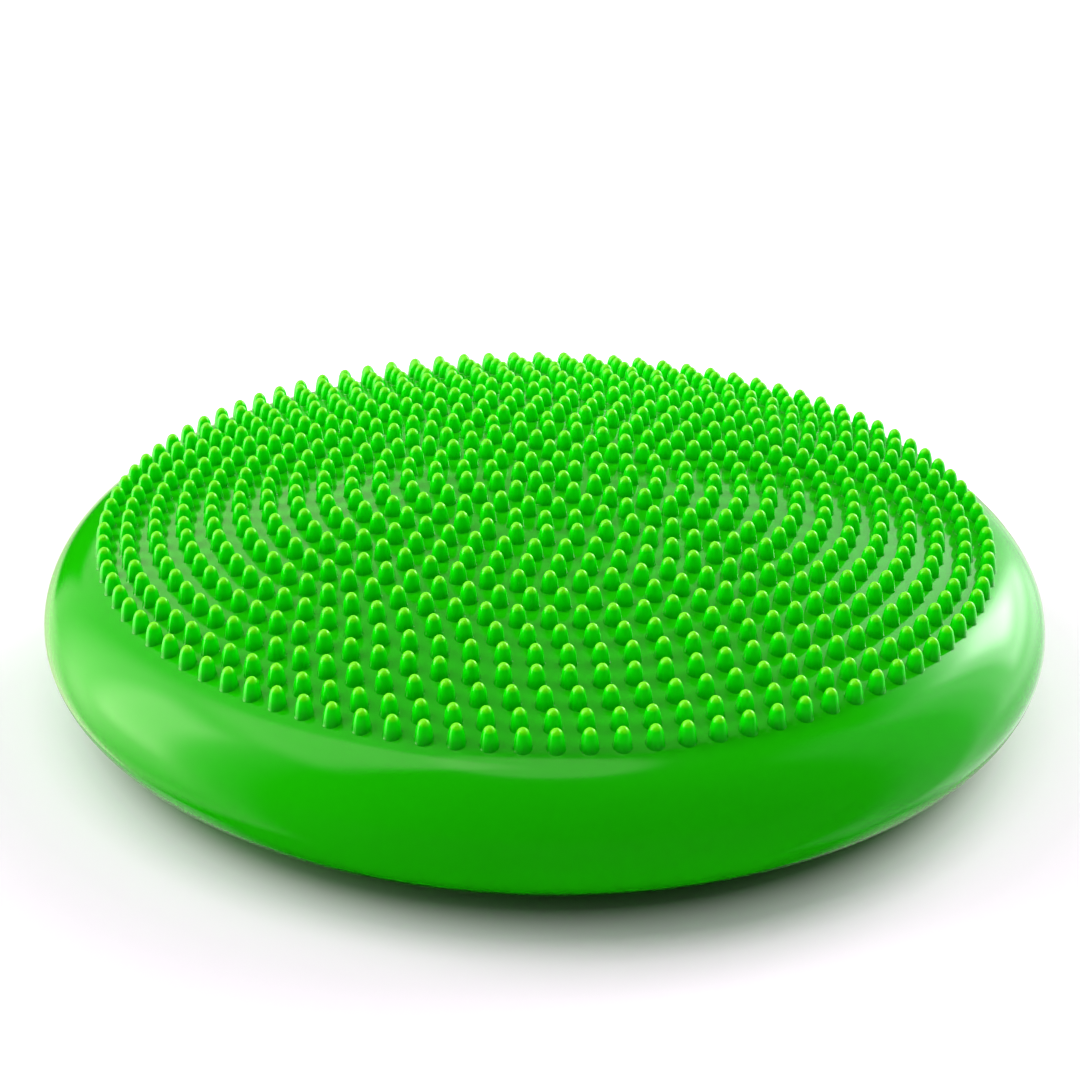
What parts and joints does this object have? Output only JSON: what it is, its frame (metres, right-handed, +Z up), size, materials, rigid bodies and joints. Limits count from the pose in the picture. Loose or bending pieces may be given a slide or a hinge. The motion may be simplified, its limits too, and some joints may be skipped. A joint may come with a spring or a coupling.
{
  "type": "balance pad",
  "caption": "Round inflatable balance cushion with a domed deck of upright massage nubs, a rolled rim and a flat foot, with a needle valve in the back of the rim.",
  "frame": {"origin": "middle of the flat foot, on the floor", "axes": "+Z up through the middle of the deck, +Y towards the valve at the back"},
  "size_m": [0.33, 0.33, 0.0796],
  "materials": {
    "vinyl": "gloss",
    "valve_rubber": "matte"
  },
  "bodies": {
    "base": {"foot_panel": "vinyl", "lower_wall": "vinyl", "valve_seat": "vinyl", "valve_barrel": "valve_rubber"},
    "lip_right": {"lip_right": "valve_rubber"},
    "lip_left": {"lip_left": "valve_rubber"},
    "rim": {"parting_band": "vinyl"},
    "deck": {"deck_panel": "vinyl", "upper_wall": "vinyl", "bearing_nubs": "vinyl", "massage_nubs": "vinyl"}
  },
  "joints": [
    {"name": "rim_tilt", "type": "hinge", "parent": "base", "child": "rim", "pos_m": [0, 0, 0.0295], "axis": [0, 1, 0], "range_deg": [-5, 5], "stiffness_Nm_per_rad": 250, "deforming": ["lower_wall"]},
    {"name": "deck_tilt", "type": "hinge", "parent": "rim", "child": "deck", "pos_m": [0, 0, 0.0295], "axis": [1, 0, 0], "range_deg": [-5, 5], "stiffness_Nm_per_rad": 250, "deforming": ["upper_wall"]},
    {"name": "lip_right_hinge", "type": "hinge", "parent": "base", "child": "lip_right", "pos_m": [0.0032, 0.15271, 0.02427], "axis": [0, 0.6058, 0.7956], "range_deg": [0, 55], "stiffness_Nm_per_rad": 0.00005},
    {"name": "lip_left_hinge", "type": "hinge", "parent": "base", "child": "lip_left", "pos_m": [-0.0032, 0.15271, 0.02427], "axis": [0, -0.6058, -0.7956], "range_deg": [0, 55], "stiffness_Nm_per_rad": 0.00005}
  ],
  "couplings": [
    {"joint": "lip_left_hinge", "follows": "lip_right_hinge", "ratio": 1}
  ]
}
